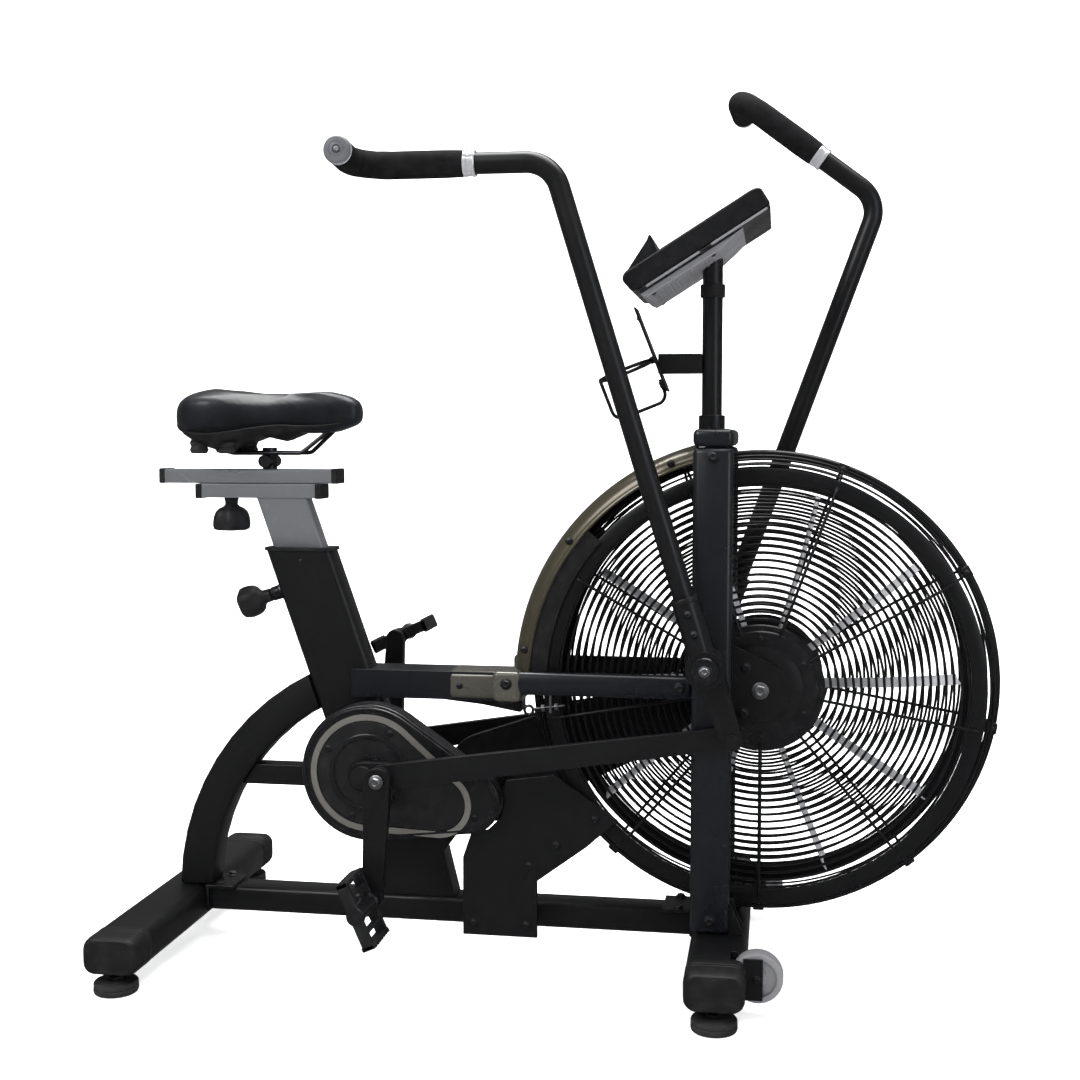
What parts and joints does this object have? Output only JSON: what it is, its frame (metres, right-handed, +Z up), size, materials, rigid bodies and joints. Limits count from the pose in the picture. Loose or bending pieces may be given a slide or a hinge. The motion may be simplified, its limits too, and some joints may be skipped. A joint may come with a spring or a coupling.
{
  "type": "air bike",
  "caption": "Upright fan-braked exercise bike: caged fan wheel at the front, swinging handlebars linked to the pedals, sliding saddle, console and bottle cage.",
  "frame": {"origin": "on the floor under the middle of the machine", "axes": "+Z up, +X forward (the way the rider faces, towards the fan), +Y to the rider's left"},
  "size_m": [1.2566, 0.5912, 1.3061],
  "materials": {
    "frame_black": "satin black powder coat",
    "plastic_black": "moulded black plastic",
    "fender_olive": "glossy gunmetal olive paint",
    "cage_black": "gloss black coated wire",
    "silver_paint": "silver grey paint",
    "steel": "bright steel",
    "blade_grey": "plain grey sheet",
    "foam_black": "matt black foam rubber",
    "saddle_black": "smooth black upholstery",
    "rubber_black": "matt black rubber",
    "wheel_grey": "grey plastic",
    "console_grey": "dark grey plastic"
  },
  "bodies": {
    "frame": {"axle_plate_left": "frame_black", "axle_plate_right": "frame_black", "belt_case": "plastic_black", "bottle_cage": "steel", "bottle_holder": "frame_black", "bottom_rail": "frame_black", "brace": "frame_black", "cage_left": "cage_black", "cage_right": "cage_black", "chain_guard": "plastic_black", "console_back": "console_grey", "console_body": "plastic_black", "console_post": "frame_black", "crank_support": "frame_black", "drive_chain": "steel", "drive_plate": "frame_black", "fan_belt": "rubber_black", "fender": "fender_olive", "front_foot": "frame_black", "levelling_foot_front_left": "rubber_black", "levelling_foot_front_right": "rubber_black", "levelling_foot_rear_left": "rubber_black", "levelling_foot_rear_right": "rubber_black", "mast_bridge": "frame_black", "mast_left": "frame_black", "mast_right": "frame_black", "rear_arc": "frame_black", "rear_foot": "frame_black", "seat_bush": "plastic_black", "seat_tube": "frame_black", "side_bar_left": "frame_black", "side_bar_right": "frame_black", "top_tube": "frame_black"},
    "crank": {"crank_axle": "steel", "crank_web_right": "frame_black", "crank_web_left": "frame_black", "crank_arm_right": "frame_black", "crank_arm_left": "frame_black", "chainring": "steel"},
    "jackshaft": {"jackshaft": "steel"},
    "fan": {"fan_wheel": "blade_grey", "fan_shaft": "steel"},
    "push_rod_right": {"push_rod_right": "frame_black"},
    "push_rod_left": {"push_rod_left": "frame_black"},
    "pedal_right": {"pedal_right": "plastic_black"},
    "pedal_left": {"pedal_left": "plastic_black"},
    "arm_right": {"handle_right": "frame_black", "handle_bracket_right": "frame_black", "grip_right": "foam_black"},
    "arm_left": {"handle_left": "frame_black", "handle_bracket_left": "frame_black", "grip_left": "foam_black"},
    "seat_column": {"seat_post": "silver_paint"},
    "seat_carriage": {"seat_slider": "silver_paint", "saddle_clamp": "plastic_black", "saddle": "saddle_black"},
    "slider_knob": {"slider_knob": "plastic_black"},
    "pop_pin": {"pop_pin": "plastic_black"},
    "wheel_right": {"transport_wheel_right": "wheel_grey"},
    "wheel_left": {"transport_wheel_left": "wheel_grey"}
  },
  "joints": [
    {"name": "crank_spin", "type": "hinge", "parent": "frame", "child": "crank", "pos_m": [-0.26975, 0, 0.283], "axis": [0, 1, 0], "continuous": true},
    {"name": "jackshaft_spin", "type": "hinge", "parent": "frame", "child": "jackshaft", "pos_m": [-0.12175, 0, 0.245], "axis": [0, 1, 0], "continuous": true},
    {"name": "fan_spin", "type": "hinge", "parent": "frame", "child": "fan", "pos_m": [0.29325, 0, 0.418], "axis": [0, 1, 0], "continuous": true},
    {"name": "right_rod_pivot", "type": "hinge", "parent": "crank", "child": "push_rod_right", "pos_m": [-0.23711, -0.138, 0.28786], "axis": [0, 1, 0], "continuous": true},
    {"name": "left_rod_pivot", "type": "hinge", "parent": "crank", "child": "push_rod_left", "pos_m": [-0.30239, 0.138, 0.27814], "axis": [0, 1, 0], "continuous": true},
    {"name": "right_pedal_spin", "type": "hinge", "parent": "crank", "child": "pedal_right", "pos_m": [-0.24544, -0.212, 0.1198], "axis": [0, 1, 0], "continuous": true},
    {"name": "left_pedal_spin", "type": "hinge", "parent": "crank", "child": "pedal_left", "pos_m": [-0.29406, 0.212, 0.4462], "axis": [0, 1, 0], "continuous": true},
    {"name": "right_arm_swing", "type": "hinge", "parent": "frame", "child": "arm_right", "pos_m": [0.22125, 0, 0.46], "axis": [0, 1, 0], "range_deg": [0, 36.9]},
    {"name": "left_arm_swing", "type": "hinge", "parent": "frame", "child": "arm_left", "pos_m": [0.22125, 0, 0.46], "axis": [0, 1, 0], "range_deg": [-36.9, 0]},
    {"name": "seat_height", "type": "slide", "parent": "frame", "child": "seat_column", "axis": [-0.3289, 0, 0.9444], "range_m": [-0.05, 0.12]},
    {"name": "seat_fore_aft", "type": "slide", "parent": "seat_column", "child": "seat_carriage", "axis": [1, 0, 0], "range_m": [-0.04, 0.08]},
    {"name": "slider_knob_turn", "type": "hinge", "parent": "seat_column", "child": "slider_knob", "pos_m": [-0.50875, 0, 0.66], "axis": [0, 0, 1], "continuous": true},
    {"name": "pop_pin_pull", "type": "slide", "parent": "frame", "child": "pop_pin", "axis": [-0.9444, 0, -0.3289], "range_m": [0, 0.012], "stiffness_N_per_m": 600, "springref_m": -0.01},
    {"name": "right_wheel_spin", "type": "hinge", "parent": "frame", "child": "wheel_right", "pos_m": [0.29525, -0.203, 0.055], "axis": [0, 1, 0], "continuous": true},
    {"name": "left_wheel_spin", "type": "hinge", "parent": "frame", "child": "wheel_left", "pos_m": [0.29525, 0.203, 0.055], "axis": [0, 1, 0], "continuous": true}
  ],
  "couplings": [
    {"joint": "jackshaft_spin", "follows": "crank_spin", "ratio": 3},
    {"joint": "fan_spin", "follows": "crank_spin", "ratio": 6},
    {"joint": "right_rod_pivot", "follows": "crank_spin", "ratio": -1},
    {"joint": "left_rod_pivot", "follows": "crank_spin", "ratio": -1},
    {"joint": "left_arm_swing", "follows": "right_arm_swing", "ratio": -1}
  ]
}
